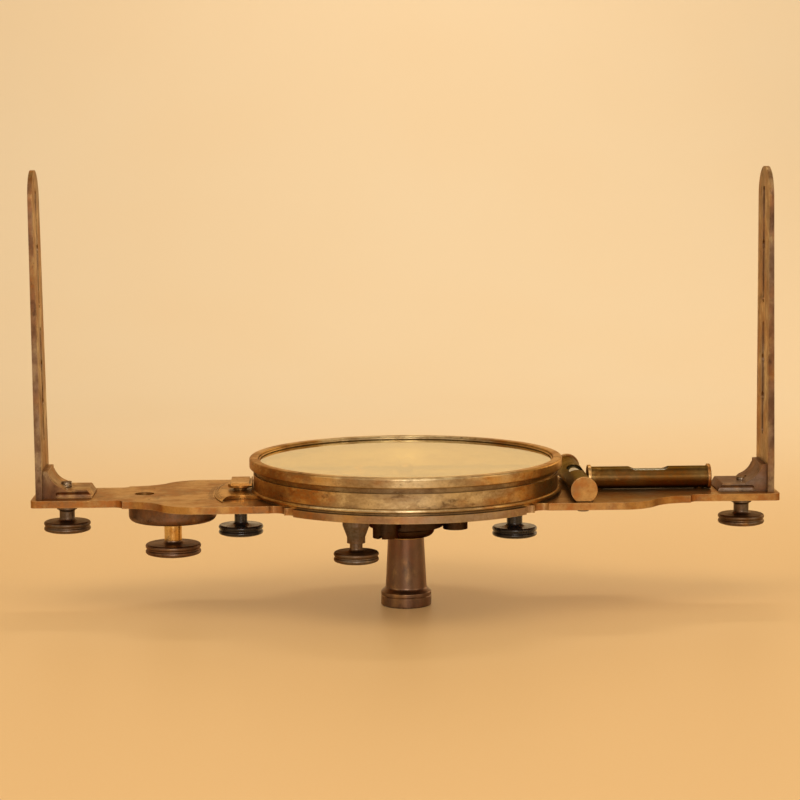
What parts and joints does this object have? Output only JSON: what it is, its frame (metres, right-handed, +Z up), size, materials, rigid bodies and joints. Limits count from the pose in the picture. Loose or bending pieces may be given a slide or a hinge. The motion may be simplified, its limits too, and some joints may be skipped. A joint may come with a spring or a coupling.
{
  "type": "surveyor's compass",
  "caption": "Vernier compass on a long brass plate: turning glazed box with a lifted needle, upright slit sights, spirit levels, a tally dial and a socket for a staff.",
  "frame": {"origin": "centre of the socket's mouth, on the surface that the instrument stands on", "axes": "+X along the plate towards the levels, +Y away from the side that faces the viewer, +Z up through the box"},
  "size_m": [0.3734, 0.1576, 0.2208],
  "materials": {
    "plate_brass": "aged, golden brown with bare edges",
    "box_brass": "aged lacquer, orange brown",
    "dark_brass": "dark brown patina, satin",
    "vane_brass": "brown patina, satin",
    "level_brass": "olive brown patina, satin",
    "bright_brass": "clean brass",
    "silvered_brass": "silvered, mellowed to cream",
    "black_lacquer": "black lacquered brass, gloss",
    "steel": "bright",
    "blued_steel": "blued",
    "cover_glass": "clear",
    "vial_glass": "clear, filled with spirit",
    "jewel": "polished stone"
  },
  "bodies": {
    "plate": {"main_plate": "plate_brass", "socket": "dark_brass", "socket_head": "dark_brass", "socket_head_screws": "dark_brass", "outkeeper_housing": "dark_brass", "outkeeper_housing_screws": "plate_brass", "outkeeper_spring": "bright_brass", "pinion_bushing": "dark_brass", "long_level_tube": "level_brass", "long_level_caps": "level_brass", "long_level_vial": "vial_glass", "long_level_screws": "dark_brass", "cross_level_tube": "level_brass", "cross_level_caps": "plate_brass", "cross_level_vial": "vial_glass", "cross_level_screws": "dark_brass"},
    "compass_box": {"box_base": "box_brass", "box_wall": "box_brass", "box_wall_screws": "box_brass", "bezel": "box_brass", "glass": "cover_glass", "glass_ring": "box_brass", "dial_face": "silvered_brass", "degree_ring": "silvered_brass", "centre_pin": "steel", "rack": "bright_brass", "rack_screws": "bright_brass", "retaining_disc": "bright_brass", "retaining_screws": "bright_brass", "clamp_washer": "plate_brass", "clamp_block": "plate_brass", "lifter_bushing": "dark_brass", "lever_pin": "steel"},
    "pinion_shaft": {"pinion": "steel", "pinion_knob": "black_lacquer"},
    "vernier_clamp": {"clamp_screw": "black_lacquer"},
    "lifter": {"lifter_screw": "dark_brass"},
    "lever": {"lifter_lever": "bright_brass"},
    "collar": {"lifting_collar": "bright_brass"},
    "compass_needle": {"needle": "blued_steel", "needle_cap": "bright_brass", "needle_jewel": "jewel", "needle_weight": "bright_brass"},
    "tally": {"outkeeper_dial": "silvered_brass", "outkeeper_stem": "bright_brass", "outkeeper_knob": "dark_brass", "outkeeper_screw": "dark_brass"},
    "left_sight": {"left_vane": "vane_brass", "left_vane_foot": "vane_brass", "left_vane_screws": "dark_brass", "left_steady_pins": "steel"},
    "left_sight_screw": {"left_thumbscrew": "dark_brass"},
    "right_sight": {"right_vane": "vane_brass", "right_vane_foot": "vane_brass", "right_vane_screws": "dark_brass", "right_steady_pins": "steel"},
    "right_sight_screw": {"right_thumbscrew": "dark_brass"}
  },
  "joints": [
    {"name": "box_turn", "type": "hinge", "parent": "plate", "child": "compass_box", "pos_m": [0, 0, 0.0583], "axis": [0, 0, 1], "range_deg": [-10, 10]},
    {"name": "pinion_turn", "type": "hinge", "parent": "plate", "child": "pinion_shaft", "pos_m": [0.0552, 0, 0.05], "axis": [0, 0, 1], "range_deg": [-105.1, 105.1]},
    {"name": "vernier_clamp_turn", "type": "hinge", "parent": "compass_box", "child": "vernier_clamp", "pos_m": [-0.0834, 0, 0.045], "axis": [0, 0, -1], "range_deg": [0, 540]},
    {"name": "lifter_turn", "type": "hinge", "parent": "compass_box", "child": "lifter", "pos_m": [-0.02604, -0.05003, 0.04], "axis": [0, 0, 1], "range_deg": [0, 100]},
    {"name": "lever_tilt", "type": "hinge", "parent": "compass_box", "child": "lever", "pos_m": [-0.02955, -0.05677, 0.0622], "axis": [0.887, -0.4617, 0], "range_deg": [0, 1.08]},
    {"name": "collar_lift", "type": "slide", "parent": "compass_box", "child": "collar", "axis": [0, 0, 1], "range_m": [0, 0.0012]},
    {"name": "needle_spin", "type": "hinge", "parent": "collar", "child": "compass_needle", "pos_m": [0, 0, 0.069], "axis": [0, 0, 1], "continuous": true},
    {"name": "tally_turn", "type": "hinge", "parent": "plate", "child": "tally", "pos_m": [-0.11765, 0, 0.045], "axis": [0, 0, 1], "continuous": true},
    {"name": "left_sight_lift", "type": "slide", "parent": "plate", "child": "left_sight", "axis": [0, 0, 1], "range_m": [0, 0.012]},
    {"name": "left_screw_turn", "type": "hinge", "parent": "plate", "child": "left_sight_screw", "pos_m": [-0.1707, 0, 0.045], "axis": [0, 0, -1], "range_deg": [0, 720]},
    {"name": "right_sight_lift", "type": "slide", "parent": "plate", "child": "right_sight", "axis": [0, 0, 1], "range_m": [0, 0.012]},
    {"name": "right_screw_turn", "type": "hinge", "parent": "plate", "child": "right_sight_screw", "pos_m": [0.1707, 0, 0.045], "axis": [0, 0, -1], "range_deg": [0, 720]}
  ],
  "couplings": [
    {"joint": "pinion_turn", "follows": "box_turn", "ratio": -10.5},
    {"joint": "lever_tilt", "follows": "lifter_turn", "ratio": 0.01074},
    {"joint": "collar_lift", "follows": "lifter_turn", "m_per_rad": 0.000687}
  ]
}
